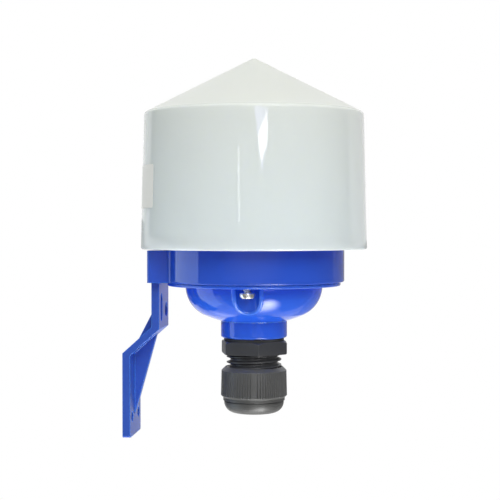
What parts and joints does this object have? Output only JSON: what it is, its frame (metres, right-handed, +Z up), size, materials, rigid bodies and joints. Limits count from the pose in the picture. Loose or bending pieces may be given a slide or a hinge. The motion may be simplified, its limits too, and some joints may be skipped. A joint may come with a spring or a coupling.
{
  "type": "photocell switch",
  "caption": "Wall-mounted dusk switch: opal cap with a conical roof on a blue base with an offset bracket, a round wiring cover below it and a cable gland.",
  "frame": {"origin": "midway between the two wall screw holes, on the bracket's wall face", "axes": "+X away from the wall, +Z up along the switch's axis, +Y to the left seen from the wall"},
  "size_m": [0.0866, 0.081, 0.1355],
  "materials": {
    "opal_plastic": "milky, softly shining moulded surface",
    "blue_plastic": "glossy moulded surface",
    "black_nylon": "satin moulded nylon",
    "black_rubber": "matt",
    "blue_elastomer": "soft, matt",
    "zinc_steel": "zinc plated",
    "board_laminate": "lacquered laminate",
    "white_plastic": "satin moulded surface",
    "clamp_brass": "bright",
    "relay_case": "moulded case",
    "film_case": "moulded case",
    "can_sleeve": "shrunk sleeve",
    "disc_coating": "dipped coating",
    "diode_case": "moulded epoxy",
    "resistor_coating": "lacquered",
    "sensor_face": "lacquered ceramic"
  },
  "bodies": {
    "housing": {"cap": "opal_plastic", "cap_seal": "black_rubber", "base": "blue_plastic", "cover_gasket": "blue_elastomer", "lower_cover": "blue_plastic", "cover_screws": "zinc_steel", "gland_body": "black_nylon", "gland_washer": "black_rubber", "gland_seal": "black_rubber", "circuit_board": "board_laminate", "board_screws": "zinc_steel", "terminal_block": "white_plastic", "wire_clamps": "clamp_brass", "terminal_screws": "zinc_steel", "relay": "relay_case", "film_capacitor": "film_case", "smoothing_capacitor": "can_sleeve", "varistor": "disc_coating", "rectifier_diodes": "diode_case", "resistors": "resistor_coating", "transistor": "diode_case", "sensor_holder": "white_plastic", "light_sensor": "sensor_face"},
    "clamping_nut": {"gland_nut": "black_nylon"}
  },
  "joints": [
    {"name": "nut_turn", "type": "hinge", "parent": "housing", "child": "clamping_nut", "pos_m": [0.0461, 0, 0.009], "axis": [0, 0, 1], "range_deg": [-750, 750]}
  ]
}
